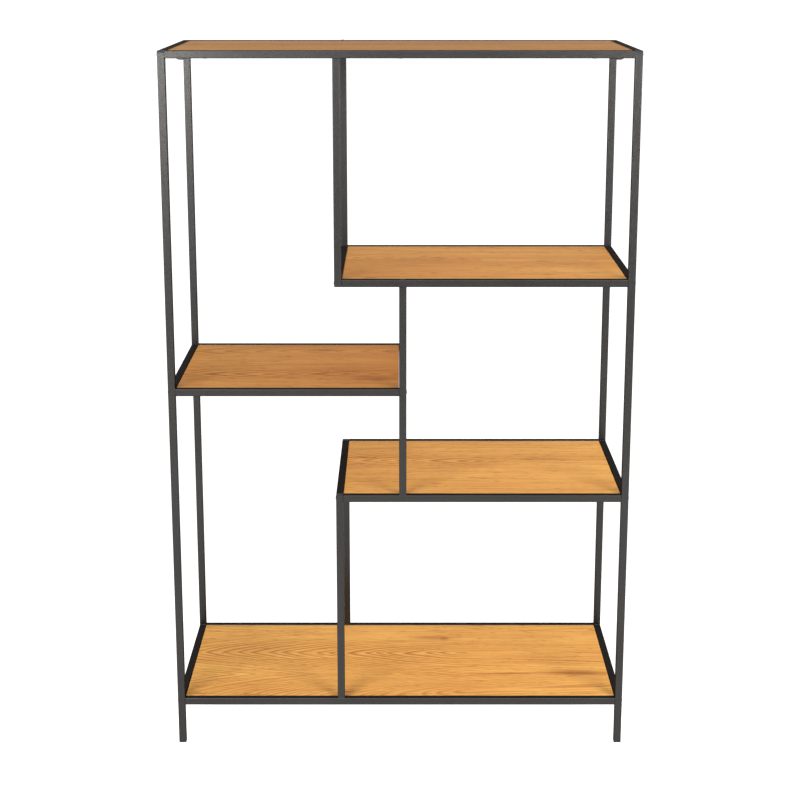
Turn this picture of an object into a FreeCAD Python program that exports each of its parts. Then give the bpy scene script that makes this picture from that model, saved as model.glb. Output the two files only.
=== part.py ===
import FreeCAD, Part
import math
import os

# Open staggered bookcase: a bolted frame of square steel tube with five boards let in flush.
# Millimetres. X runs to the right, Y to the rear, Z up. The origin is on the floor under the centre.

Vector = FreeCAD.Vector
X_AXIS = Vector(1, 0, 0)
Y_AXIS = Vector(0, 1, 0)
Z_AXIS = Vector(0, 0, 1)
EDGE_MATCH = 1e-6

# Frame
WIDTH = 750.0
DEPTH = 350.0
TUBE = 12.0
TUBE_WALL = 1.2
TUBE_CORNER = 1.2

# Heights of the rail tops above the floor: full bays are two tier steps high
BASE_LEVEL = 81.0
TIER_STEP = 179.0
LOWER_LEVEL = BASE_LEVEL + 2 * TIER_STEP
MIDDLE_LEVEL = BASE_LEVEL + 3 * TIER_STEP
UPPER_LEVEL = BASE_LEVEL + 4 * TIER_STEP
TOP_LEVEL = BASE_LEVEL + 6 * TIER_STEP

# Centre lines of the mid posts
OUTER_MID_X = -99.0
CENTRE_MID_X = 4.5

# Boards and the tabs that carry them
BOARD_THICK = 9.0
BOARD_RECESS = 1.0
BOARD_GAP = 0.4
BOARD_EDGE = 0.4
TAB_THICK = 2.0
TAB_LENGTH = 24.0
TAB_REACH = 16.0
TAB_CORNER = 5.0
TAB_INSET = 60.0
TAB_SPACING = 400.0

# Wood screws through the tabs
SCREW_RADIUS = 1.75
SCREW_BITE = 6.0
SCREW_POINT = 2.5
SCREW_HEAD_RADIUS = 3.4
SCREW_HEAD_TAPER = 0.9
SCREW_HEAD_HEIGHT = 2.0
SCREW_HOLE_PLAY = 0.35
PILOT_PLAY = 0.05

# Bolts, their clearance holes and the threaded inserts they pull on
BOLT_RADIUS = 2.0
BOLT_BITE = 13.0
BOLT_HOLE_PLAY = 0.25
BOLT_HEAD_LAND = 1.0
BOLT_HEAD_HEIGHT = 1.0
SOCKET_ACROSS_FLATS = 2.5
SOCKET_DEPTH = 1.6
INSERT_LENGTH = 15.0
INSERT_PLAY = 0.1
THREAD_PLAY = 0.05

# Plastic end caps and foot glides
CAP_HEAD = 3.0
CAP_EDGE = 0.8
CAP_LEG_LENGTH = 10.0
CAP_LEG_WIDTH = 7.0
CAP_BOLT_ROOM = 0.6
GLIDE_HEAD = 3.0
GLIDE_EDGE = 0.6
GLIDE_PLUG_LENGTH = 12.0
GLIDE_PLUG_WALL = 1.5
PLUG_PLAY = 0.15

# Wall lugs on the rear corner posts
LUG_REACH = 16.0
LUG_HEIGHT = 22.0
LUG_THICK = 2.0
LUG_CORNER = 9.0
LUG_HOLE_RADIUS = 2.5

# Sizes that follow from those above
POST_X = WIDTH / 2 - TUBE / 2
POST_Y = DEPTH / 2 - TUBE / 2
BORE = TUBE - 2 * TUBE_WALL
BOLT_HEAD_RADIUS = TUBE / 2 - TUBE_CORNER - BOLT_HEAD_LAND
ROWS = {"front": -POST_Y, "rear": POST_Y}
SIDES = {"left": -1, "right": 1}

# Every upright frame: the centre line of its two posts, and their lower and upper ends
UPRIGHTS = {
    "left": (-POST_X, 0.0, TOP_LEVEL),
    "right": (POST_X, 0.0, TOP_LEVEL),
    "upper_mid": (OUTER_MID_X, UPPER_LEVEL - TUBE, TOP_LEVEL - TUBE),
    "centre_mid": (CENTRE_MID_X, LOWER_LEVEL, UPPER_LEVEL - TUBE),
    "lower_mid": (OUTER_MID_X, BASE_LEVEL, LOWER_LEVEL),
}

# Every level: its height, and the uprights at its left and right ends
LEVELS = {
    "top": (TOP_LEVEL, "left", "right"),
    "upper_shelf": (UPPER_LEVEL, "upper_mid", "right"),
    "middle_shelf": (MIDDLE_LEVEL, "left", "centre_mid"),
    "lower_shelf": (LOWER_LEVEL, "lower_mid", "right"),
    "base": (BASE_LEVEL, "left", "right"),
}

# Mid-post ends that are bolted to a rail: upright, level of that rail, and the way into the post
END_JOINTS = (
    ("upper_mid", "top", -Z_AXIS),
    ("centre_mid", "upper_shelf", -Z_AXIS),
    ("centre_mid", "lower_shelf", Z_AXIS),
    ("lower_mid", "base", Z_AXIS),
)

# Open post ends closed by a cap: upright, height of the end, and the way out of the post
CAPPED_ENDS = (
    ("left", TOP_LEVEL, Z_AXIS),
    ("right", TOP_LEVEL, Z_AXIS),
    ("upper_mid", UPPER_LEVEL - TUBE, -Z_AXIS),
    ("lower_mid", LOWER_LEVEL, Z_AXIS),
)


def placed(shape, origin, direction):
    """A shape modelled along +Z from the origin, set at a point and turned to a direction."""
    copy = shape.copy()
    copy.Placement = FreeCAD.Placement(origin, FreeCAD.Rotation(Z_AXIS, direction))
    return copy


def rounded_square(side, corner):
    """A closed square outline with arc corners, centred in the XY plane."""
    half = side / 2
    flat = half - corner
    bulge = flat + corner * math.sqrt(0.5)
    edges = []
    for quarter in range(4):
        turn = FreeCAD.Rotation(Z_AXIS, 90 * quarter)
        flat_start = turn.multVec(Vector(half, -flat, 0))
        flat_end = turn.multVec(Vector(half, flat, 0))
        arc_middle = turn.multVec(Vector(bulge, bulge, 0))
        arc_end = turn.multVec(Vector(flat, half, 0))
        edges.append(Part.LineSegment(flat_start, flat_end).toShape())
        edges.append(Part.Arc(flat_end, arc_middle, arc_end).toShape())
    return Part.Wire(edges)


def rounded_bar(side, corner, length):
    return Part.Face(rounded_square(side, corner)).extrude(Vector(0, 0, length))


def square_bar(side, length):
    return Part.makeBox(side, side, length, Vector(-side / 2, -side / 2, 0))


def turned(outline):
    """A solid turned about the Z axis from the edges of a closed half outline."""
    return Part.Face(Part.Wire(outline)).revolve(Vector(0, 0, 0), Z_AXIS, 360)


def tube(start, end):
    """Square tube between two points on its centre line."""
    run = end - start
    shell = rounded_bar(TUBE, TUBE_CORNER, run.Length)
    return placed(shell.cut(square_bar(BORE, run.Length)), start, run)


def hexagon(across_flats):
    radius = across_flats / math.sqrt(3)
    corners = [Vector(radius, 0, 0)]
    for sixth in range(1, 7):
        corners.append(FreeCAD.Rotation(Z_AXIS, 60 * sixth).multVec(corners[0]))
    return Part.Wire(Part.makePolygon(corners))


def bolt():
    """Machine bolt: its domed socket head seats on one tube and its shank crosses into the next."""
    dome_radius = (BOLT_HEAD_RADIUS ** 2 + BOLT_HEAD_HEIGHT ** 2) / (2 * BOLT_HEAD_HEIGHT)
    half_angle = math.asin(BOLT_HEAD_RADIUS / dome_radius) / 2
    bulge = Vector(dome_radius * math.sin(half_angle), 0, 0)
    bulge.z = dome_radius * (1 - math.cos(half_angle)) - BOLT_HEAD_HEIGHT
    apex = Vector(0, 0, -BOLT_HEAD_HEIGHT)
    end = Vector(0, 0, TUBE + BOLT_BITE)
    shank_end = Vector(BOLT_RADIUS, 0, TUBE + BOLT_BITE)
    shank_root = Vector(BOLT_RADIUS, 0, 0)
    seat_edge = Vector(BOLT_HEAD_RADIUS, 0, 0)
    blank = turned([
        Part.LineSegment(apex, end).toShape(),
        Part.LineSegment(end, shank_end).toShape(),
        Part.LineSegment(shank_end, shank_root).toShape(),
        Part.LineSegment(shank_root, seat_edge).toShape(),
        Part.Arc(seat_edge, bulge, apex).toShape(),
    ])
    socket = Part.Face(hexagon(SOCKET_ACROSS_FLATS)).extrude(Vector(0, 0, SOCKET_DEPTH))
    socket.translate(apex)
    return blank.cut(socket)


def wood_screw():
    """Pan-head screw: the head lies below the XY plane, and the pointed shank runs along +Z."""
    length = TAB_THICK + SCREW_BITE
    crown = Vector(0, 0, -SCREW_HEAD_HEIGHT)
    corners = [
        crown,
        Vector(0, 0, length),
        Vector(SCREW_RADIUS, 0, length - SCREW_POINT),
        Vector(SCREW_RADIUS, 0, 0),
        Vector(SCREW_HEAD_RADIUS, 0, 0),
        Vector(SCREW_HEAD_RADIUS - SCREW_HEAD_TAPER, 0, -SCREW_HEAD_HEIGHT),
        crown,
    ]
    return turned(Part.makePolygon(corners).Edges)


def insert():
    """Threaded plug fixed in the end of a tube, flush with that end."""
    plug = square_bar(BORE - 2 * INSERT_PLAY, INSERT_LENGTH)
    thread = Part.makeCylinder(BOLT_RADIUS + THREAD_PLAY, INSERT_LENGTH)
    return plug.cut(thread)


def bolt_hole(seat, direction):
    """The clearance hole through both walls of the tube that a bolt crosses."""
    return placed(Part.makeCylinder(BOLT_RADIUS + BOLT_HOLE_PLAY, TUBE), seat, direction)


def edges_at(solid, height):
    """The edges round a solid's level face at a given height."""
    found = []
    for edge in solid.Edges:
        box = edge.BoundBox
        if abs(box.ZMin - height) < EDGE_MATCH and abs(box.ZMax - height) < EDGE_MATCH:
            found.append(edge)
    return found


def end_cap():
    """Cap whose head tops the tube along +Z and whose two legs straddle the bolt below it."""
    head = rounded_bar(TUBE, TUBE_CORNER, CAP_HEAD)
    head = head.makeChamfer(min(CAP_EDGE, CAP_HEAD / 2), edges_at(head, CAP_HEAD))
    near = BOLT_RADIUS + CAP_BOLT_ROOM
    far = BORE / 2 - PLUG_PLAY
    for side in SIDES.values():
        leg = Part.makeBox(CAP_LEG_WIDTH, far - near, CAP_LEG_LENGTH)
        leg.translate(Vector(-CAP_LEG_WIDTH / 2, near if side > 0 else -far, -CAP_LEG_LENGTH))
        head = head.fuse(leg)
    return head.removeSplitter()


def foot_glide():
    """Glide whose bevelled head stands on the floor and whose hollow plug fills the tube's end."""
    head = rounded_bar(TUBE, TUBE_CORNER, GLIDE_HEAD)
    head = head.makeChamfer(min(GLIDE_EDGE, GLIDE_HEAD / 2), edges_at(head, 0.0))
    plug_side = BORE - 2 * PLUG_PLAY
    plug = square_bar(plug_side, GLIDE_PLUG_LENGTH)
    plug = plug.cut(square_bar(plug_side - 2 * GLIDE_PLUG_WALL, GLIDE_PLUG_LENGTH))
    plug.translate(Vector(0, 0, GLIDE_HEAD))
    return head.fuse(plug).removeSplitter()


def rounded_plate(length, reach, thick, corner, hole_radius):
    """Plate from a straight edge on the X axis out to +Y, with two round corners and one hole."""
    half = length / 2
    bulge = corner * (1 - math.sqrt(0.5))
    points = {
        "left_foot": Vector(-half, 0, 0),
        "right_foot": Vector(half, 0, 0),
        "right_start": Vector(half, reach - corner, 0),
        "right_bulge": Vector(half - bulge, reach - bulge, 0),
        "right_end": Vector(half - corner, reach, 0),
        "left_start": Vector(corner - half, reach, 0),
        "left_bulge": Vector(bulge - half, reach - bulge, 0),
        "left_end": Vector(-half, reach - corner, 0),
    }
    outline = [
        Part.LineSegment(points["left_foot"], points["right_foot"]).toShape(),
        Part.LineSegment(points["right_foot"], points["right_start"]).toShape(),
        Part.Arc(points["right_start"], points["right_bulge"], points["right_end"]).toShape(),
        Part.LineSegment(points["right_end"], points["left_start"]).toShape(),
        Part.Arc(points["left_start"], points["left_bulge"], points["left_end"]).toShape(),
        Part.LineSegment(points["left_end"], points["left_foot"]).toShape(),
    ]
    plate = Part.Face(Part.Wire(outline)).extrude(Vector(0, 0, thick))
    hole = Part.makeCylinder(hole_radius, thick, Vector(0, reach / 2, 0))
    return plate.cut(hole)


def level_span(level):
    """The inner faces of the uprights at the two ends of a level."""
    _, left, right = LEVELS[level]
    return UPRIGHTS[left][0] + TUBE / 2, UPRIGHTS[right][0] - TUBE / 2


def bolted(nodes, through, joint_end, direction, bolt_group, insert_group):
    """One bolt through a tube into an insert in the end of the tube that butts against it."""
    seat = joint_end - direction * TUBE
    nodes[through] = [nodes[through][0].cut(bolt_hole(seat, direction))]
    nodes.setdefault(bolt_group, []).append(placed(bolt(), seat, direction))
    nodes.setdefault(insert_group, []).append(placed(insert(), joint_end, direction))


def make_posts(nodes):
    capped = {(upright, height) for upright, height, _ in CAPPED_ENDS}
    for upright, (x, bottom, top) in UPRIGHTS.items():
        low = bottom
        high = top
        if upright in SIDES:
            low += GLIDE_HEAD
        if (upright, bottom) in capped:
            low += CAP_HEAD
        if (upright, top) in capped:
            high -= CAP_HEAD
        for row, y in ROWS.items():
            nodes[f"{upright}_{row}_post"] = [tube(Vector(x, y, low), Vector(x, y, high))]


def make_rails(nodes):
    for level, (height, left, right) in LEVELS.items():
        z = height - TUBE / 2
        start, end = level_span(level)
        for row, y in ROWS.items():
            nodes[f"{level}_{row}_rail"] = [tube(Vector(start, y, z), Vector(end, y, z))]
        for side, upright in (("left", left), ("right", right)):
            x = UPRIGHTS[upright][0]
            inner = POST_Y - TUBE / 2
            nodes[f"{level}_{side}_side_rail"] = [tube(Vector(x, -inner, z), Vector(x, inner, z))]


def make_bolted_joints(nodes):
    for level, (height, left, right) in LEVELS.items():
        z = height - TUBE / 2
        start, end = level_span(level)
        for row, y in ROWS.items():
            for x, upright, direction in ((start, left, X_AXIS), (end, right, -X_AXIS)):
                group = "corner_post_bolts" if upright in SIDES else "mid_post_bolts"
                joint_end = Vector(x, y, z)
                post = f"{upright}_{row}_post"
                bolted(nodes, post, joint_end, direction, group, "rail_end_inserts")
    for upright, level, direction in END_JOINTS:
        x, bottom, top = UPRIGHTS[upright]
        z = bottom if direction.z > 0 else top
        for row, y in ROWS.items():
            joint_end = Vector(x, y, z)
            rail = f"{level}_{row}_rail"
            bolted(nodes, rail, joint_end, direction, "mid_post_end_bolts", "post_end_inserts")


def tab_places(level):
    """Where the tabs stand along the front and rear rails of a level, at most a spacing apart."""
    start, end = level_span(level)
    run = end - start - 2 * TAB_INSET
    steps = math.ceil(run / TAB_SPACING)
    return [start + TAB_INSET + run * number / steps for number in range(steps + 1)]


def make_boards(nodes):
    tab = rounded_plate(TAB_LENGTH, TAB_REACH, TAB_THICK, TAB_CORNER, SCREW_RADIUS + SCREW_HOLE_PLAY)
    screw = wood_screw()
    pilot = Part.makeCylinder(SCREW_RADIUS + PILOT_PLAY, SCREW_BITE + PILOT_PLAY)
    rail_face = POST_Y - TUBE / 2
    for level, (height, _, _) in LEVELS.items():
        start, end = level_span(level)
        underside = height - BOARD_RECESS - BOARD_THICK
        half_depth = rail_face - BOARD_GAP
        board = Part.makeBox(end - start - 2 * BOARD_GAP, 2 * half_depth, BOARD_THICK)
        board = board.makeChamfer(min(BOARD_EDGE, BOARD_THICK / 3), edges_at(board, BOARD_THICK))
        board.translate(Vector(start + BOARD_GAP, -half_depth, underside))
        tabs = nodes.setdefault(f"{level}_board_tabs", [])
        for x in tab_places(level):
            for side, turn in ((-1, 0), (1, 180)):
                piece = tab.copy()
                piece.rotate(Vector(0, 0, 0), Z_AXIS, turn)
                piece.translate(Vector(x, side * rail_face, underside - TAB_THICK))
                tabs.append(piece)
                hole_y = side * (rail_face - TAB_REACH / 2)
                seat = Vector(x, hole_y, underside - TAB_THICK)
                nodes.setdefault("board_screws", []).append(placed(screw, seat, Z_AXIS))
                board = board.cut(placed(pilot, Vector(x, hole_y, underside), Z_AXIS))
        nodes[f"{level}_board"] = [board]


def make_caps_and_glides(nodes):
    for upright, height, direction in CAPPED_ENDS:
        group = "post_top_caps" if upright in SIDES else "mid_post_caps"
        for y in ROWS.values():
            neck = Vector(UPRIGHTS[upright][0], y, height) - direction * CAP_HEAD
            nodes.setdefault(group, []).append(placed(end_cap(), neck, direction))
    for side in SIDES:
        for y in ROWS.values():
            foot = Vector(UPRIGHTS[side][0], y, 0)
            nodes.setdefault("foot_glides", []).append(placed(foot_glide(), foot, Z_AXIS))


def make_wall_lugs(nodes):
    """Upright plates on the outer faces of the rear corner posts, on the flat clear of their corners."""
    plate = rounded_plate(LUG_HEIGHT, LUG_REACH, LUG_THICK, LUG_CORNER, LUG_HOLE_RADIUS)
    plate.rotate(Vector(0, 0, 0), X_AXIS, 90)
    plate.rotate(Vector(0, 0, 0), Y_AXIS, 90)
    back = DEPTH / 2 - TUBE_CORNER
    for side, sign in SIDES.items():
        lug = plate.copy()
        if sign < 0:
            lug.rotate(Vector(0, -LUG_THICK / 2, 0), Z_AXIS, 180)
        lug.translate(Vector(sign * WIDTH / 2, back, TOP_LEVEL - TUBE - LUG_HEIGHT / 2))
        nodes[f"{side}_wall_lug"] = [lug]


def build():
    nodes = {}
    make_posts(nodes)
    make_rails(nodes)
    make_bolted_joints(nodes)
    make_boards(nodes)
    make_caps_and_glides(nodes)
    make_wall_lugs(nodes)
    return nodes


os.makedirs("parts", exist_ok=True)
for name, solids in build().items():
    shape = solids[0] if len(solids) == 1 else Part.Compound(solids)
    shape.exportStep(f"parts/{name}.step")
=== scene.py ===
import math
import random
from collections import namedtuple

import bmesh
import bpy
from mathutils import Euler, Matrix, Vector


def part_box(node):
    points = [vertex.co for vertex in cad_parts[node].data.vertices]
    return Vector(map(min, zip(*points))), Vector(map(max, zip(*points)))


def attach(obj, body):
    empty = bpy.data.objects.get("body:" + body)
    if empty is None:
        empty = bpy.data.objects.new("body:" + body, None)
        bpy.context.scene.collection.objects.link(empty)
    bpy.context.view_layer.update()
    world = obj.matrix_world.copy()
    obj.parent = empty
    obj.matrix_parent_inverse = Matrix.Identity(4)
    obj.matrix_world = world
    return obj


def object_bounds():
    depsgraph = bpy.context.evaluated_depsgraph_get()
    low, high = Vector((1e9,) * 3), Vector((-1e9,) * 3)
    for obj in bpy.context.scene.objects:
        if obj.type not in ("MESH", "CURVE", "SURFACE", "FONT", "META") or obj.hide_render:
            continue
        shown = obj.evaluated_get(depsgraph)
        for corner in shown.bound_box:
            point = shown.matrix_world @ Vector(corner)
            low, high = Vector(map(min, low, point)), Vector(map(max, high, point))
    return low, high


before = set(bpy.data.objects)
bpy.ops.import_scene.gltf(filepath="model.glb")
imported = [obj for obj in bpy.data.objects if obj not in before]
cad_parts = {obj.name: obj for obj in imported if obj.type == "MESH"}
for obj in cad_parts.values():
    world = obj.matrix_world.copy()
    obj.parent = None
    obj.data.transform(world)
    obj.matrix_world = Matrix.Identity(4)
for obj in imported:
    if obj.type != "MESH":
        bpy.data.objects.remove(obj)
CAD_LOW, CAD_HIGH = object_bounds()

# Looks of the open staggered bookcase: black powder-coated tube and five oak boards.
# Metres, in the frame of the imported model: X to the right, Y to the rear, Z up.

# Camera, with its lens in millimetres
CAMERA_PLACE = Vector((0.0, -2.951, 1.300))
CAMERA_PITCH = math.radians(14.15)
CAMERA_LENS = 79.7

# Light: the level of the white surround, a broad sun from the front, and a softbox on each side
AMBIENT = 0.28
SUN_STRENGTH = 1.06
SUN_ELEVATION = math.radians(30)
SUN_SPREAD = math.radians(35)
SUN_DISTANCE = 4.0
SOFTBOX_POWER = 113.0
SOFTBOX_SIZE = (1.2, 1.0)
SOFTBOX_PLACES = {"left": Vector((-1.42, -2.7, 1.36)), "right": Vector((1.72, -2.7, 1.40))}

# Floor: half its side and its own surface
FLOOR_REACH = 60.0
FLOOR_ALBEDO = 0.6
FLOOR_ROUGHNESS = 0.9

# Glow of the floor to the camera: near the object and far off, and the distances that it changes between
GLOW_NEAR, GLOW_FAR = 0.85, 1.0
GLOW_FADE = (1.0, 3.0)

# Glow of the floor in reflections: in front of the object and beside it, the Y that it changes between, and
# the distances between which the front becomes as bright as the rest
GLOSS_FRONT, GLOSS_BESIDE = 0.10, 0.85
GLOSS_FRONT_FADE = (-2.2, -0.6)
GLOSS_FAR_FADE = (5.5, 16.0)

# Sockets of a node that mixes colours, and plain white
MIX_SHARE, MIX_FIRST, MIX_SECOND, MIX_RESULT = 0, 6, 7, 2
WHITE = (1, 1, 1, 1)

# Noises: features to a metre along X and across it, octaves, and roughness
Noise = namedtuple("Noise", "along across octaves roughness")

# Most of a noise keeps to this stretch between 0 and 1
NOISE_SPAN = (0.3, 0.7)

# Powder coat: its clouds and pebbles, the shades and the roughness that they run between, its share of
# metal, its rim at a grazing angle, and how deep the pebbles are and how strongly they show
COAT_CLOUDS = Noise(9, 9, 3.0, 0.5)
COAT_PEBBLES = Noise(1100, 1100, 1.0, 0.5)
COAT_SHADES = ((0.032, 0.031, 0.030, 1), (0.045, 0.043, 0.041, 1))
COAT_ROUGHNESS = (0.26, 0.36)
COAT_METALLIC = 0.95
COAT_RIM = (0, 0, 0, 1)
PEBBLE_DEPTH = 0.0002
PEBBLE_RELIEF = 0.25

# Dust on the coat: how far up a face looks where it begins and where it is full, and its added roughness
DUST_FACING = (0.6, 0.95)
DUST_ROUGHNESS = 0.32

# Moulded plastic of the caps and glides
PLASTIC_GRAINS = Noise(1600, 1600, 2.0, 0.5)
PLASTIC_SHADES = ((0.009, 0.009, 0.009, 1), (0.020, 0.020, 0.020, 1))
PLASTIC_ROUGHNESS = (0.45, 0.65)
PLASTIC_SPECULAR = 0.15
PLASTIC_DEPTH = 0.0001
PLASTIC_RELIEF = 0.3

# Dark oxide of the bolts
BOLT_PATCHES = Noise(400, 400, 3.0, 0.5)
BOLT_SHADES = ((0.030, 0.030, 0.031, 1), (0.080, 0.080, 0.080, 1))
BOLT_ROUGHNESS = (0.3, 0.5)
BOLT_METALLIC = 0.9

# Zinc of the inserts and wood screws
ZINC_CLOUDS = Noise(260, 260, 3.0, 0.5)
ZINC_SHADES = ((0.46, 0.47, 0.49, 1), (0.66, 0.66, 0.65, 1))
ZINC_ROUGHNESS = (0.28, 0.42)
ZINC_METALLIC = 1.0

# Weld beads: the leg of a fillet, how far its root reaches into the corner, and the step from a crest of
# its ripples to a trough, with how many steps it has at least
BEAD_LEG = 0.0010
BEAD_ROOT = 0.0002
BEAD_STEP = 0.0007
BEAD_FEWEST_STEPS = 4
FILLET_TURNS = [math.radians(degrees) for degrees in (0, 30, 60, 90)]

# Fullness of a bead: how much more at a crest and less at a trough, how far it strays, and how full its ends
# are and how much it gains from there with every step
BEAD_CREST, BEAD_TROUGH = 0.10, 0.06
BEAD_STRAY = 0.06
BEAD_END, BEAD_END_GAIN = 0.35, 0.4
BEAD_SEED = 11

# Seams in the groove beside the rounded corner of a tube, and the least gap between two pairs of tabs
TUBE_CORNER = 0.0012
SEAM_RADIUS = 0.55 * TUBE_CORNER
SEAM_INSET = 0.61 * TUBE_CORNER
SEAM_SINK = 0.22 * TUBE_CORNER
SEAM_SIDES = 8
TAB_GAP = 0.035

# Oak: pale wood, brown bands and dark lines, its sheen, how deep its relief is and how strongly it shows,
# and the height of the lines in it
OAK_LIGHT = (0.81, 0.455, 0.120, 1.0)
OAK_BROWN = (0.58, 0.265, 0.062, 1.0)
OAK_LINE = (0.305, 0.102, 0.024, 1.0)
OAK_ROUGHNESS = (0.56, 0.68)
OAK_SPECULAR = 0.08
OAK_DEPTH = 0.0002
OAK_RELIEF = 0.2
LINE_HEIGHT = -0.5

# Growth rings on the face of a plain-sawn board: their width, about how deep the pith lies where it has
# risen, what share of its slope it keeps from there, and how pointed the arches are
RING_WIDTH = 0.0058
PITH_DEPTH = 0.010
PITH_FALL = 0.12
ARCH_POINT = 0.30

# How dark a ring is at both ends and at stages between them, and the noise that makes the rings uneven
RING_ENDS = 0.30
RING_TONES = ((0.10, 0.0), (0.55, 0.14), (0.80, 1.0), (0.92, 0.95))
RING_CHANGES = Noise(75, 1, 1.0, 0.5)

# The grain: how far it sways and ripples, and its noises
GRAIN_SWAY = 0.016
GRAIN_RIPPLE = 0.0040
SWAY = Noise(1.6, 5, 2.0, 0.5)
RIPPLE = Noise(18, 22, 2.0, 0.5)
FADE = Noise(4, 20, 3.0, 0.5)
DASH = Noise(80, 500, 2.0, 0.5)
BAND = Noise(1.5, 11, 3.0, 0.6)
STREAK = Noise(7, 150, 4.0, 0.65)
FLECK = Noise(40, 320, 2.0, 0.6)
PORE = Noise(55, 1500, 2.0, 0.5)

# What makes the ring lines clear: two of the noises, the distance from the heart, and the distance before
# its rise. Each has the values that it counts between, and how clear the lines are at the one and the other
FADE_CLEAR = (0.35, 0.62, 0.25, 0.80)
DASH_CLEAR = (0.36, 0.62, 0.65, 1.0)
HEART_CLEAR = (0.03, 0.09, 1.0, 0.0)
RISE_CLEAR = (0.02, -0.06, 1.0, 0.2)

# How much each layer of colour covers, given in the same way, and the lines where they are clearest
BAND_COVER = (0.36, 0.70, 0.0, 0.75)
STREAK_COVER = (0.40, 0.72, 0.0, 0.80)
LINE_COVER = 0.85
FLECK_COVER = (0.58, 0.74, 0.0, 0.70)
PORE_COVER = (0.58, 0.75, 0.0, 0.35)
MARK_COVER = (0.3, 0.6, 0.55, 1.0)

# The share of a mark's size that is dark all through, the band along a board's edges where a highlight is
# painted and how much brighter the painted highlight makes it, and how far apart in the noises the boards
# are cut
MARK_CORE = 0.1
EDGE_HIGHLIGHT_BAND = 0.0020
EDGE_HIGHLIGHT_LIFT = 0.14
BOARD_STRIDE = 3.7

# Every board:
# coarse, how many times broader its streaks and flecks are across the grain
# heart, the Y along which the middle of its arches runs
# fold, how far from there the rings turn back, towards the arches of the next heart
# lean, by what share a distance behind the heart counts more and one in front less, at left and right
# rise, the X at which the pith has risen to the face, and how steeply it rises
# tone, painted light and shade on the board: its brightness at the left and right ends
# painted_rear_light, painted light on the board: by what share it is brighter at the rear
# warmth, the hue of the painted shade: the factor by which green falls behind red, and blue behind green
# marks, the dark marks in its grain, each with its X, Y, half length, half width and strength
BOARDS = {
    "top": {
        "coarse": 1.5,
        "heart": 0.05,
        "fold": 0.105,
        "lean": (-0.08, 0.08),
        "rise": (0.2, 0.17),
        "painted_light": (0.81, 0.85),
        "painted_rear_light": 0.02,
        "painted_shade_warmth": 0.88,
        "marks": ((0.183, -0.031, 0.055, 0.010, 0.7), (0.104, 0.141, 0.060, 0.014, 0.5)),
    },
    "upper_shelf": {
        "coarse": 2.2,
        "heart": 0.040,
        "fold": 0.105,
        "lean": (-0.12, -0.05),
        "rise": (0.09, 0.2),
        "painted_light": (0.92, 1.18),
        "painted_rear_light": 0.015,
        "painted_shade_warmth": 0.955,
        "marks": (
            (-0.047, -0.148, 0.022, 0.012, 1.0),
            (-0.030, -0.140, 0.060, 0.016, 0.4),
            (0.239, 0.006, 0.026, 0.005, 0.9),
        ),
    },
    "middle_shelf": {
        "coarse": 1.7,
        "heart": -0.060,
        "fold": 0.085,
        "lean": (-0.12, 0.0),
        "rise": (0.04, 0.13),
        "painted_light": (0.765, 0.705),
        "painted_rear_light": 0.13,
        "painted_shade_warmth": 0.86,
        "marks": (
            (-0.127, 0.118, 0.035, 0.010, 0.6),
            (-0.125, -0.050, 0.012, 0.009, 0.6),
            (-0.040, -0.098, 0.070, 0.022, 0.5),
        ),
    },
    "lower_shelf": {
        "coarse": 1.2,
        "heart": 0.032,
        "fold": 0.105,
        "lean": (-0.15, -0.12),
        "rise": (0.16, 0.18),
        "painted_light": (0.86, 1.15),
        "painted_rear_light": 0.06,
        "painted_shade_warmth": 1.0,
        "marks": (
            (-0.056, 0.051, 0.026, 0.006, 0.8),
            (0.228, 0.040, 0.018, 0.009, 0.8),
            (0.250, 0.042, 0.080, 0.016, 0.5),
            (0.077, -0.117, 0.003, 0.003, 1.0),
        ),
    },
    "base": {
        "coarse": 1.0,
        "heart": 0.030,
        "fold": 0.1,
        "lean": (-0.2, 0.42),
        "rise": (0.10, 0.21),
        "painted_light": (0.92, 1.085),
        "painted_rear_light": 0.05,
        "painted_shade_warmth": 0.985,
        "marks": (
            (0.062, 0.100, 0.060, 0.014, 0.6),
            (0.080, 0.098, 0.018, 0.013, 1.0),
            (0.190, -0.066, 0.085, 0.005, 0.9),
            (0.310, -0.064, 0.095, 0.018, 1.0),
            (-0.087, -0.146, 0.022, 0.007, 0.8),
            (-0.345, -0.152, 0.030, 0.008, 0.6),
            (-0.255, -0.156, 0.040, 0.007, 0.5),
        ),
    },
}


def link(material, socket, target):
    material.node_tree.links.new(socket, target)


def node(material, kind, inputs=None, **settings):
    """A shader node with its settings, and its inputs set to values or linked to sockets."""
    made = material.node_tree.nodes.new(kind)
    for name, value in settings.items():
        setattr(made, name, value)
    for key, value in (inputs or {}).items():
        if isinstance(value, bpy.types.NodeSocket):
            link(material, value, made.inputs[key])
        else:
            made.inputs[key].default_value = value
    return made


def arithmetic(material, operation, first, second=0.0, third=0.0):
    return node(material, "ShaderNodeMath", {0: first, 1: second, 2: third}, operation=operation).outputs[0]


def blend(material, share, first, second, mode="MIX"):
    """Two colours mixed by a share of the second."""
    inputs = {MIX_SHARE: share, MIX_FIRST: first, MIX_SECOND: second}
    return node(material, "ShaderNodeMix", inputs, data_type="RGBA", blend_type=mode).outputs[MIX_RESULT]


def remap(material, value, low, high, new_low, new_high, kind="LINEAR"):
    """A value carried over from one stretch to another, and held at its ends."""
    inputs = {"Value": value, "From Min": low, "From Max": high, "To Min": new_low, "To Max": new_high}
    return node(material, "ShaderNodeMapRange", inputs, interpolation_type=kind).outputs[0]


def noise(material, place, kind, coarse=1.0):
    """Noise of a kind, broader along Y the coarser it is."""
    per_metre = (kind.along, kind.across / coarse, kind.across)
    scaled = node(material, "ShaderNodeMapping", {"Vector": place, "Scale": per_metre}).outputs[0]
    inputs = {"Vector": scaled, "Scale": 1.0, "Detail": kind.octaves, "Roughness": kind.roughness}
    return node(material, "ShaderNodeTexNoise", inputs).outputs["Fac"]


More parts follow.
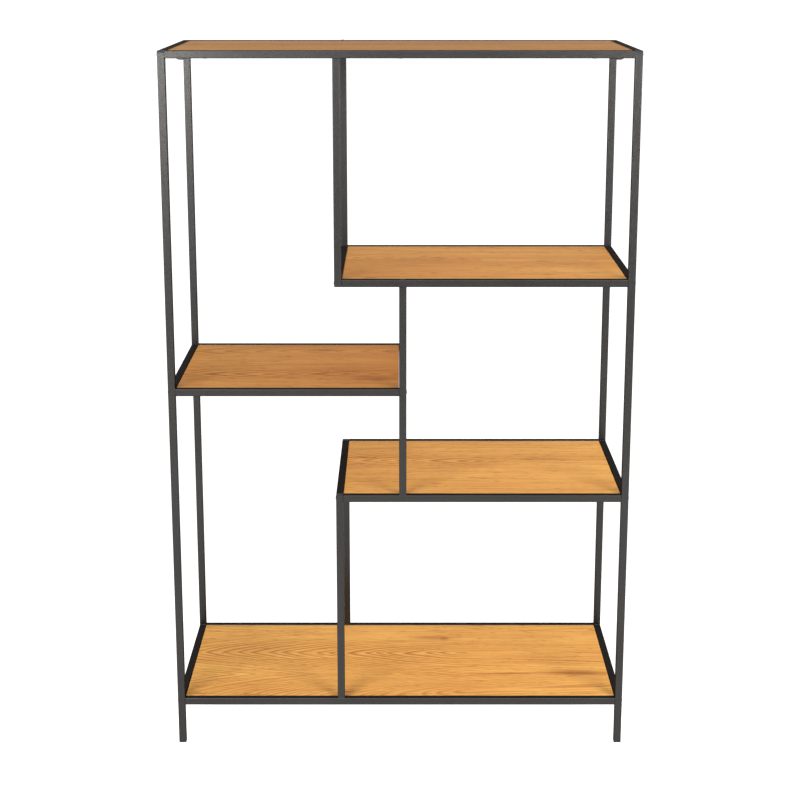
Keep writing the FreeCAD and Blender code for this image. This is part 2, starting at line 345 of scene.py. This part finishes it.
def length_of(material, first, second):
    """The length of the arm that two measures at right angles span."""
    arm = node(material, "ShaderNodeCombineXYZ", {"X": first, "Y": second}).outputs[0]
    return node(material, "ShaderNodeVectorMath", {0: arm}, operation="LENGTH").outputs["Value"]


def bump(material, height, distance, strength):
    inputs = {"Height": height, "Distance": distance, "Strength": strength}
    return node(material, "ShaderNodeBump", inputs).outputs[0]


def new_material(name):
    """A node material with its principled shader and the object's own coordinates."""
    material = bpy.data.materials.new(name)
    material.use_nodes = True
    principled = material.node_tree.nodes["Principled BSDF"]
    place = node(material, "ShaderNodeTexCoord").outputs["Object"]
    return material, principled, place


def mottle(material, principled, patches, shades, roughness):
    """Shade and roughness that vary together from patch to patch."""
    link(material, blend(material, patches, *shades), principled.inputs["Base Color"])
    link(material, remap(material, patches, *NOISE_SPAN, *roughness), principled.inputs["Roughness"])


def powder_coat():
    """Dark coat: faint clouding, the pebbled skin of cured powder, and dust on level faces."""
    material, principled, place = new_material("black_powder_coat")
    clouds = noise(material, place, COAT_CLOUDS)
    pebbles = noise(material, place, COAT_PEBBLES)
    skin = remap(material, pebbles, *NOISE_SPAN, *COAT_ROUGHNESS)
    normal = node(material, "ShaderNodeNewGeometry").outputs["Normal"]
    upward = node(material, "ShaderNodeSeparateXYZ", {0: normal}).outputs["Z"]
    dust = remap(material, upward, *DUST_FACING, 0.0, DUST_ROUGHNESS)
    link(material, blend(material, clouds, *COAT_SHADES), principled.inputs["Base Color"])
    link(material, arithmetic(material, "ADD", skin, dust), principled.inputs["Roughness"])
    link(material, bump(material, pebbles, PEBBLE_DEPTH, PEBBLE_RELIEF), principled.inputs["Normal"])
    principled.inputs["Metallic"].default_value = COAT_METALLIC
    principled.inputs["Specular Tint"].default_value = COAT_RIM
    return material


def black_plastic():
    """Moulded plastic of the caps and glides, with a fine spark-eroded skin."""
    material, principled, place = new_material("moulded_black_plastic")
    skin = noise(material, place, PLASTIC_GRAINS)
    mottle(material, principled, skin, PLASTIC_SHADES, PLASTIC_ROUGHNESS)
    link(material, bump(material, skin, PLASTIC_DEPTH, PLASTIC_RELIEF), principled.inputs["Normal"])
    principled.inputs["Specular IOR Level"].default_value = PLASTIC_SPECULAR
    return material


def blackened_steel():
    """Bolt heads: dark oxide with a slightly worn sheen."""
    material, principled, place = new_material("blackened_bolt_steel")
    mottle(material, principled, noise(material, place, BOLT_PATCHES), BOLT_SHADES, BOLT_ROUGHNESS)
    principled.inputs["Metallic"].default_value = BOLT_METALLIC
    return material


def zinc_plate():
    """Bright zinc on the hidden inserts and screws, with its cloudy passivation."""
    material, principled, place = new_material("zinc_plated_steel")
    mottle(material, principled, noise(material, place, ZINC_CLOUDS), ZINC_SHADES, ZINC_ROUGHNESS)
    principled.inputs["Metallic"].default_value = ZINC_METALLIC
    return material


def mark_mask(material, along, across, marks):
    """High inside the dark marks of a board, fading towards their ragged edges."""
    total = 0.0
    for x, y, half_length, half_width, strength in marks:
        far_x = arithmetic(material, "DIVIDE", arithmetic(material, "SUBTRACT", along, x), half_length)
        far_y = arithmetic(material, "DIVIDE", arithmetic(material, "SUBTRACT", across, y), half_width)
        far = length_of(material, far_x, far_y)
        near = remap(material, far, MARK_CORE, 1.0, strength, 0.0, "SMOOTHSTEP")
        total = arithmetic(material, "MAXIMUM", total, near)
    return total


def ring_radius(material, board, along, off_heart):
    """How far a point of the face lies from the pith, which rises along the board and so makes arches."""
    folded = arithmetic(material, "PINGPONG", off_heart, board["fold"])
    lean = remap(material, along, CAD_LOW.x, CAD_HIGH.x, *board["lean"])
    aside = arithmetic(material, "MULTIPLY_ADD", off_heart, lean, folded)
    rise_x, steepness = board["rise"]
    slope = arithmetic(material, "MULTIPLY", arithmetic(material, "SUBTRACT", rise_x, along), steepness)
    gentle = arithmetic(material, "MULTIPLY", slope, PITH_FALL)
    slope = arithmetic(material, "SMOOTH_MAX", slope, gentle, PITH_DEPTH)
    depth = arithmetic(material, "ADD", slope, PITH_DEPTH)
    rounded = length_of(material, aside, depth)
    pointed = arithmetic(material, "ADD", aside, depth)
    return remap(material, ARCH_POINT, 0.0, 1.0, rounded, pointed)


def ring_profile(material, phase):
    """Dark latewood at the end of every growth ring, after pale earlywood that deepens slowly."""
    ramp = node(material, "ShaderNodeValToRGB", {0: phase})
    stops = ramp.color_ramp.elements
    for stop in stops:
        stop.color = (RING_ENDS, RING_ENDS, RING_ENDS, 1)
    for position, grey in RING_TONES:
        stops.new(position).color = (grey, grey, grey, 1)
    return ramp.outputs[0]


def ring_lines(material, number, radius):
    """Lines of the growth rings, which are of uneven width."""
    ring_place = node(material, "ShaderNodeCombineXYZ", {"X": radius, "Y": float(number)}).outputs[0]
    uneven = remap(material, noise(material, ring_place, RING_CHANGES), 0, 1, -1.0, 1.0)
    turns = arithmetic(material, "ADD", arithmetic(material, "DIVIDE", radius, RING_WIDTH), uneven)
    return ring_profile(material, arithmetic(material, "FRACT", turns))


def line_clearness(material, board, in_log, along, off_heart):
    """How clear the ring lines are: most in the arches, off and on elsewhere, and broken into dashes."""
    rise_x = board["rise"][0]
    by_heart = remap(material, arithmetic(material, "ABSOLUTE", off_heart), *HEART_CLEAR)
    before_rise = remap(material, arithmetic(material, "SUBTRACT", rise_x, along), *RISE_CLEAR)
    arched = arithmetic(material, "MULTIPLY", by_heart, before_rise)
    fade = remap(material, noise(material, in_log, FADE), *FADE_CLEAR)
    dashes = remap(material, noise(material, in_log, DASH), *DASH_CLEAR)
    return arithmetic(material, "MULTIPLY", arithmetic(material, "MAXIMUM", arched, fade), dashes)


def oak_colour(material, board, in_log, lines, pores, mark):
    """Pale wood under brown bands and streaks, and over them dark ring lines, flecks, pores and marks."""
    bands = noise(material, in_log, BAND)
    streaks = noise(material, in_log, STREAK, board["coarse"])
    flecks = noise(material, in_log, FLECK, board["coarse"])
    layers = (
        (OAK_BROWN, remap(material, bands, *BAND_COVER)),
        (OAK_BROWN, remap(material, streaks, *STREAK_COVER)),
        (OAK_LINE, arithmetic(material, "MULTIPLY", lines, LINE_COVER)),
        (OAK_LINE, remap(material, flecks, *FLECK_COVER)),
        (OAK_LINE, remap(material, pores, *PORE_COVER)),
        (OAK_LINE, arithmetic(material, "MULTIPLY", mark, remap(material, streaks, *MARK_COVER))),
    )
    colour = OAK_LIGHT
    for layer, cover in layers:
        colour = blend(material, cover, colour, layer)
    return colour


def painted_edge_highlight(material, along, across, board):
    """High along the four edges of a board's face, where its painted highlight lies."""
    low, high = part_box(board)
    nearest = 1.0
    for measure, first, last in ((along, low.x, high.x), (across, low.y, high.y)):
        from_first = arithmetic(material, "SUBTRACT", measure, first)
        to_last = arithmetic(material, "SUBTRACT", last, measure)
        nearer = arithmetic(material, "MINIMUM", from_first, to_last)
        nearest = arithmetic(material, "MINIMUM", nearest, nearer)
    return remap(material, nearest, 0.0, EDGE_HIGHLIGHT_BAND, 1.0, 0.0)


def paint_board_light(material, level, along, across):
    """Painted light and shade on a board from end to end and from front to rear, and its painted edge
    highlight.
    """
    board = BOARDS[level]
    endwise_painted_light = remap(material, along, CAD_LOW.x, CAD_HIGH.x, *board["painted_light"])
    rearward = remap(material, across, CAD_LOW.y, CAD_HIGH.y, 1.0, 1.0 + board["painted_rear_light"])
    edges = painted_edge_highlight(material, along, across, f"{level}_board")
    # Painted highlight along the edges of the board
    edge_highlight = arithmetic(material, "MULTIPLY_ADD", edges, EDGE_HIGHLIGHT_LIFT, 1.0)
    red = arithmetic(material, "MULTIPLY", arithmetic(material, "MULTIPLY", endwise_painted_light, rearward), edge_highlight)
    green = arithmetic(material, "MULTIPLY", red, board["painted_shade_warmth"])
    blue = arithmetic(material, "MULTIPLY", green, board["painted_shade_warmth"])
    return node(material, "ShaderNodeCombineXYZ", {"X": red, "Y": green, "Z": blue}).outputs[0]


def oak(level, number):
    """Oak face: rings round a swaying heart, streaks along the grain, pores, dashes and dark marks."""
    board = BOARDS[level]
    material, principled, place = new_material(f"oak_{level}")
    parts = node(material, "ShaderNodeSeparateXYZ", {0: place})
    along, across = parts.outputs["X"], parts.outputs["Y"]
    cut = (number * BOARD_STRIDE, 0.0, 0.0)
    in_log = node(material, "ShaderNodeVectorMath", {0: place, 1: cut}, operation="ADD").outputs[0]
    sway = remap(material, noise(material, in_log, SWAY), 0, 1, -GRAIN_SWAY, GRAIN_SWAY)
    ripple = remap(material, noise(material, in_log, RIPPLE), 0, 1, -GRAIN_RIPPLE, GRAIN_RIPPLE)
    rippled = arithmetic(material, "ADD", across, ripple)
    swayed = arithmetic(material, "ADD", rippled, sway)
    off_heart = arithmetic(material, "SUBTRACT", swayed, board["heart"])
    mark = mark_mask(material, along, rippled, board["marks"])
    radius = ring_radius(material, board, along, off_heart)
    round_marks = arithmetic(material, "MULTIPLY_ADD", mark, RING_WIDTH, radius)
    clearness = line_clearness(material, board, in_log, along, off_heart)
    lines = arithmetic(material, "MULTIPLY", ring_lines(material, number, round_marks), clearness)
    pores = noise(material, in_log, PORE)
    colour = oak_colour(material, board, in_log, lines, pores, mark)
    # Painted light and shade by board, from end to end and front to rear, with a painted highlight on the
    # edges
    painted_light = paint_board_light(material, level, along, across)
    relief = arithmetic(material, "MULTIPLY_ADD", lines, LINE_HEIGHT, pores)
    link(material, blend(material, 1.0, colour, painted_light, "MULTIPLY"), principled.inputs["Base Color"])
    link(material, remap(material, lines, 0, 1, *OAK_ROUGHNESS), principled.inputs["Roughness"])
    link(material, bump(material, relief, OAK_DEPTH, OAK_RELIEF), principled.inputs["Normal"])
    principled.inputs["Specular IOR Level"].default_value = OAK_SPECULAR
    return material


def dress_nodes(paint):
    """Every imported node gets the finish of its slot, and each board an oak of its own."""
    finishes = {
        "frame_paint": paint,
        "black_plastic": black_plastic(),
        "black_bolt": blackened_steel(),
        "zinc_steel": zinc_plate(),
    }
    boards = {f"{level}_board": oak(level, number) for number, level in enumerate(BOARDS)}
    for name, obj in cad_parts.items():
        for place in obj.material_slots:
            place.material = boards[name] if name in boards else finishes[place.material.name]


class WeldRow:
    """Weld beads gathered into one mesh piece."""

    def __init__(self):
        self.shape = bmesh.new()
        self.draw = random.Random(BEAD_SEED)

    def skin(self, rings):
        """A closed skin through rings of points."""
        rows = [[self.shape.verts.new(point) for point in ring] for ring in rings]
        count = len(rows[0])
        for row, following in zip(rows, rows[1:]):
            for column in range(count):
                beside = (column + 1) % count
                self.shape.faces.new((row[column], row[beside], following[beside], following[column]))
        self.shape.faces.new(rows[0])
        self.shape.faces.new(rows[-1])

    def swells(self, run):
        """How far along a bead each ring lies, and how full it is there: ripples, and drawn-in ends."""
        count = max(BEAD_FEWEST_STEPS, round(run / BEAD_STEP))
        for number in range(count + 1):
            swell = BEAD_CREST if number % 2 else -BEAD_TROUGH
            ripple = 1.0 + swell + self.draw.uniform(-BEAD_STRAY, BEAD_STRAY)
            ends = min(1.0, BEAD_END + BEAD_END_GAIN * min(number, count - number))
            yield number / count, ripple * ends

    def fillet(self, start, end, first, second):
        """A bead in the inside corner between two faces that run off along first and second."""
        rings = []
        for share, full in self.swells((end - start).length):
            root = start.lerp(end, share)
            leg = BEAD_LEG * full
            ring = [root - (first + second) * BEAD_ROOT]
            for turn in FILLET_TURNS:
                ring.append(root + (first * math.cos(turn) + second * math.sin(turn)) * leg)
            rings.append(ring)
        self.skin(rings)

    def seam(self, start, end):
        """A round bead that fills the groove along a butt joint."""
        along = (end - start).normalized()
        first = along.orthogonal().normalized()
        second = along.cross(first)
        turns = [2 * math.pi * side / SEAM_SIDES for side in range(SEAM_SIDES)]
        arms = [first * math.cos(turn) + second * math.sin(turn) for turn in turns]
        rings = []
        for share, full in self.swells((end - start).length):
            middle = start.lerp(end, share)
            rings.append([middle + arm * SEAM_RADIUS * min(full, 1.0) for arm in arms])
        self.skin(rings)

    def finish(self, name, paint):
        """The beads as a smooth painted piece that rides on the frame."""
        bmesh.ops.recalc_face_normals(self.shape, faces=self.shape.faces)
        mesh = bpy.data.meshes.new(name)
        self.shape.to_mesh(mesh)
        self.shape.free()
        for polygon in mesh.polygons:
            polygon.use_smooth = True
        mesh.materials.append(paint)
        piece = bpy.data.objects.new(name, mesh)
        bpy.context.scene.collection.objects.link(piece)
        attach(piece, "root")


def post_at(place):
    """The box of the post that holds a point."""
    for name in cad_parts:
        if name.endswith("_post"):
            low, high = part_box(name)
            if all(low[axis] <= place[axis] <= high[axis] for axis in range(3)):
                return low, high


def weld_side_rail(row, rail):
    """Fillets above and below each end of a side rail where its post goes on, and seams beside it."""
    low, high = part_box(rail)
    half_tube = (high.x - low.x) / 2
    middle = (low + high) / 2
    for outward, joint in ((-1, low.y), (1, high.y)):
        post_low, post_high = post_at(Vector((middle.x, joint + outward * half_tube, middle.z)))
        back = Vector((0, -outward, 0))
        for goes_on, level, way in ((post_high.z > high.z, high.z, 1), (post_low.z < low.z, low.z, -1)):
            if goes_on:
                start = Vector((low.x + TUBE_CORNER, joint, level))
                end = Vector((high.x - TUBE_CORNER, joint, level))
                row.fillet(start, end, back, Vector((0, 0, way)))
        for x in (low.x + SEAM_INSET, high.x - SEAM_INSET):
            y = joint + outward * SEAM_SINK
            row.seam(Vector((x, y, low.z + TUBE_CORNER)), Vector((x, y, high.z - TUBE_CORNER)))


def tab_spans(tabs):
    """The lowest and highest X of every pair of tabs of a level."""
    spans = []
    for x in sorted(vertex.co.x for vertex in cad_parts[tabs].data.vertices):
        if spans and x - spans[-1][1] < TAB_GAP:
            spans[-1][1] = x
        else:
            spans.append([x, x])
    return spans


def weld_tabs(row, tabs):
    """A seam under every tab, in the groove beside the rail's lower corner."""
    low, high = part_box(tabs)
    z = low.z + SEAM_INSET
    for left, right in tab_spans(tabs):
        for y in (low.y - SEAM_SINK, high.y + SEAM_SINK):
            row.seam(Vector((left + BEAD_LEG, y, z)), Vector((right - BEAD_LEG, y, z)))


def weld_lug(row, lug, outward):
    """Fillets along both faces of a wall lug, on the outer face of its post."""
    low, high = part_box(lug)
    foot = low.x if outward > 0 else high.x
    for y, way in ((low.y, -1), (high.y, 1)):
        start = Vector((foot, y, low.z + BEAD_LEG))
        end = Vector((foot, y, high.z - BEAD_LEG))
        row.fillet(start, end, Vector((outward, 0, 0)), Vector((0, way, 0)))


def make_welds(paint):
    """One piece of beads to a level, and one to a wall lug."""
    for level in BOARDS:
        row = WeldRow()
        for side in ("left", "right"):
            weld_side_rail(row, f"{level}_{side}_side_rail")
        weld_tabs(row, f"{level}_board_tabs")
        row.finish(f"{level}_welds", paint)
    for side, outward in (("left", -1), ("right", 1)):
        row = WeldRow()
        weld_lug(row, f"{side}_wall_lug", outward)
        row.finish(f"{side}_wall_lug_welds", paint)


def ray_kinds(material):
    """High for rays straight from the camera, and for those that come by way of gloss or glass."""
    path = node(material, "ShaderNodeLightPath")
    by_gloss, by_glass = path.outputs["Is Glossy Ray"], path.outputs["Is Transmission Ray"]
    return path.outputs["Is Camera Ray"], arithmetic(material, "MAXIMUM", by_gloss, by_glass)


def make_world():
    """White surround: plain ambient light, and white wherever it is seen."""
    world = bpy.data.worlds.new("studio")
    world.use_nodes = True
    bpy.context.scene.world = world
    background = world.node_tree.nodes["Background"]
    background.inputs["Color"].default_value = WHITE
    seen = arithmetic(world, "MAXIMUM", *ray_kinds(world))
    link(world, remap(world, seen, 0, 1, AMBIENT, 1.0), background.inputs["Strength"])


def floor_glow(material, place):
    """Near white to the camera, white further off, and dim in reflections in front of the object."""
    away = node(material, "ShaderNodeVectorMath", {0: place}, operation="LENGTH").outputs["Value"]
    rearward = node(material, "ShaderNodeSeparateXYZ", {0: place}).outputs["Y"]
    beside = remap(material, rearward, *GLOSS_FRONT_FADE, GLOSS_FRONT, GLOSS_BESIDE)
    far = remap(material, away, *GLOSS_FAR_FADE, 0.0, GLOSS_BESIDE)
    reflected = arithmetic(material, "MAXIMUM", beside, far)
    seen = remap(material, away, *GLOW_FADE, GLOW_NEAR, GLOW_FAR)
    direct, passed_on = ray_kinds(material)
    glow = arithmetic(material, "MULTIPLY", reflected, passed_on)
    return arithmetic(material, "MULTIPLY_ADD", seen, direct, glow)


def make_floor():
    """Plain white floor that fades into the white surround and keeps the object's shadow."""
    mesh = bpy.data.meshes.new("floor")
    corners = [(-1, -1, 0), (1, -1, 0), (1, 1, 0), (-1, 1, 0)]
    mesh.from_pydata([Vector(corner) * FLOOR_REACH for corner in corners], [], [(0, 1, 2, 3)])
    floor = bpy.data.objects.new("floor", mesh)
    bpy.context.scene.collection.objects.link(floor)
    material, principled, place = new_material("white_floor")
    principled.inputs["Base Color"].default_value = (FLOOR_ALBEDO, FLOOR_ALBEDO, FLOOR_ALBEDO, 1)
    principled.inputs["Roughness"].default_value = FLOOR_ROUGHNESS
    principled.inputs["Specular IOR Level"].default_value = 0.0
    principled.inputs["Emission Color"].default_value = WHITE
    link(material, floor_glow(material, place), principled.inputs["Emission Strength"])
    mesh.materials.append(material)


def add_lamp(name, kind, energy, place, target):
    """A lamp at a place, turned towards a target."""
    lamp = bpy.data.lights.new(name, kind)
    lamp.energy = energy
    obj = bpy.data.objects.new(name, lamp)
    obj.location = place
    obj.rotation_mode = "QUATERNION"
    obj.rotation_quaternion = (target - place).to_track_quat("-Z", "Y")
    bpy.context.scene.collection.objects.link(obj)
    return lamp


def make_lights():
    """A broad frontal light, and a softbox on each side of the camera."""
    centre = (CAD_LOW + CAD_HIGH) / 2
    sunward = Vector((0, -math.cos(SUN_ELEVATION), math.sin(SUN_ELEVATION)))
    sun = add_lamp("broad_front", "SUN", SUN_STRENGTH, centre + sunward * SUN_DISTANCE, centre)
    sun.angle = SUN_SPREAD
    for side, place in SOFTBOX_PLACES.items():
        box = add_lamp(f"{side}_softbox", "AREA", SOFTBOX_POWER, place, centre)
        box.shape = "RECTANGLE"
        box.size, box.size_y = SOFTBOX_SIZE


def make_camera():
    """The photograph's view, from the front and somewhat above."""
    data = bpy.data.cameras.new("camera")
    data.lens = CAMERA_LENS
    camera = bpy.data.objects.new("camera", data)
    camera.location = CAMERA_PLACE
    camera.rotation_euler = Euler((math.pi / 2 - CAMERA_PITCH, 0, 0))
    bpy.context.scene.collection.objects.link(camera)
    bpy.context.scene.camera = camera


bpy.context.scene.view_settings.view_transform = "Standard"
frame_paint = powder_coat()
dress_nodes(frame_paint)
make_welds(frame_paint)
make_world()
make_floor()
make_lights()
make_camera()
